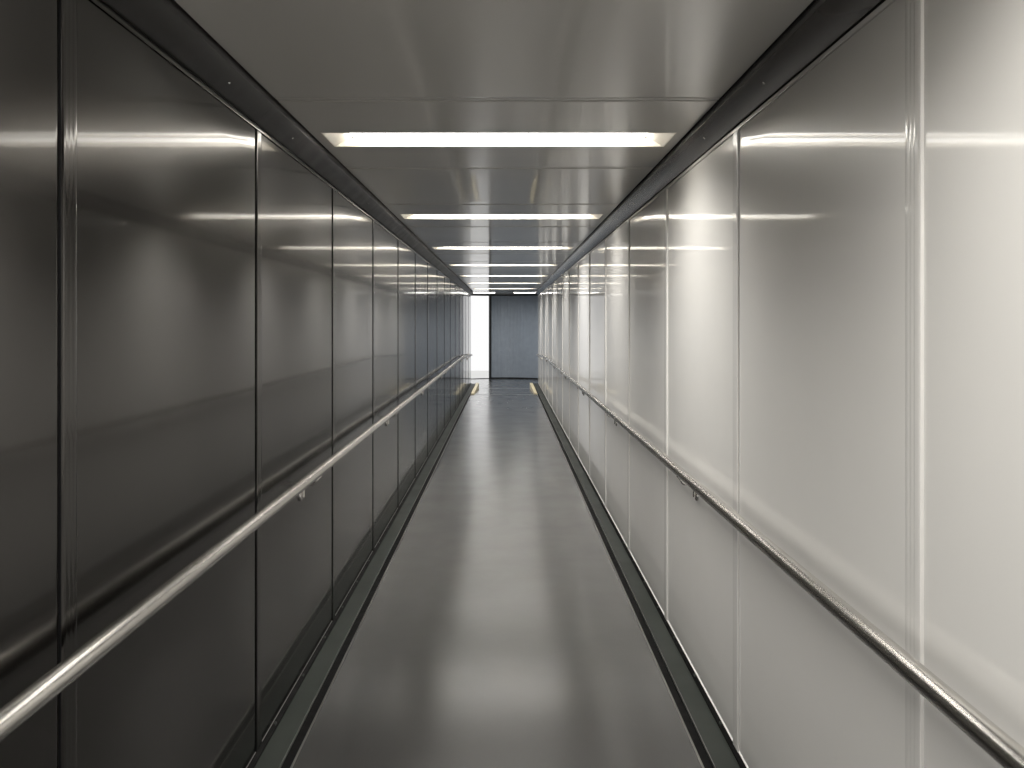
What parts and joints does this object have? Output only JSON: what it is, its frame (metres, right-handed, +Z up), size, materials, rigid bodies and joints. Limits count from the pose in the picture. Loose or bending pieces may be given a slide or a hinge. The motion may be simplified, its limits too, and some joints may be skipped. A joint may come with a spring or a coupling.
{
  "type": "jet bridge",
  "caption": "Long lined boarding tunnel with handrails, recessed lights and a short ramp down to a round cab with slat curtains, raised on steel supports.",
  "frame": {"origin": "on the ground, under the middle of the whole bridge", "axes": "+Y along the tunnel from its near end to the cab, +Z up, +X to the right when walking to the cab"},
  "size_m": [3.9239, 23.2166, 6.145],
  "materials": {
    "charcoal_laminate": "glossy laminate",
    "pale_laminate": "glossy laminate",
    "cornice_enamel": "satin enamel",
    "ceiling_enamel": "gloss enamel",
    "ceiling_strip": "satin enamel",
    "trim_aluminium": "natural anodised",
    "rail_stainless": "brushed along its length",
    "floor_rubber": "worn matt sheet",
    "black_rubber": "matt",
    "grey_seal": "matt",
    "kerb_enamel": "satin enamel",
    "fairing_enamel": "satin enamel",
    "lamp_enamel": "satin enamel",
    "lamp_lens": "opal diffuser",
    "frame_paint": "two-coat steel paint",
    "sheet_paint": "coil-coated sheet",
    "slat_aluminium": "blue-grey coated",
    "track_paint": "satin black"
  },
  "bodies": {
    "root": {"near_portal": "frame_paint", "far_portal": "frame_paint", "bottom_chords": "frame_paint", "top_chords": "frame_paint", "floor_deck": "frame_paint", "cross_beams": "frame_paint", "floor_covering": "floor_rubber", "ramp_covering": "floor_rubber", "ramp_fairings": "fairing_enamel", "floor_trims": "trim_aluminium", "side_seals": "black_rubber", "kerb_strips": "kerb_enamel", "base_trims": "track_paint", "left_lining": "charcoal_laminate", "right_lining": "pale_laminate", "left_seam_strips": "black_rubber", "right_seam_strips": "grey_seal", "side_walls": "sheet_paint", "outer_sheets": "sheet_paint", "wall_posts": "frame_paint", "top_trims": "cornice_enamel", "cornices": "cornice_enamel", "ceiling_panels": "ceiling_enamel", "ceiling_strips": "ceiling_strip", "light_housings": "lamp_enamel", "light_lenses": "lamp_lens", "roof_beams": "frame_paint", "roof": "sheet_paint", "gutters": "frame_paint", "left_handrail": "rail_stainless", "right_handrail": "rail_stainless", "rail_brackets": "rail_stainless", "near_support": "frame_paint", "far_support": "frame_paint", "cab_floor": "frame_paint", "cab_mat": "floor_rubber", "cab_ceiling": "ceiling_enamel", "cab_roof": "sheet_paint", "cab_underframe": "frame_paint", "left_curtain": "slat_aluminium", "right_curtain": "slat_aluminium", "curtain_tracks": "track_paint", "curtain_housings": "frame_paint", "front_posts": "track_paint", "bumper": "black_rubber", "cab_lights": "lamp_enamel"}
  },
  "joints": []
}
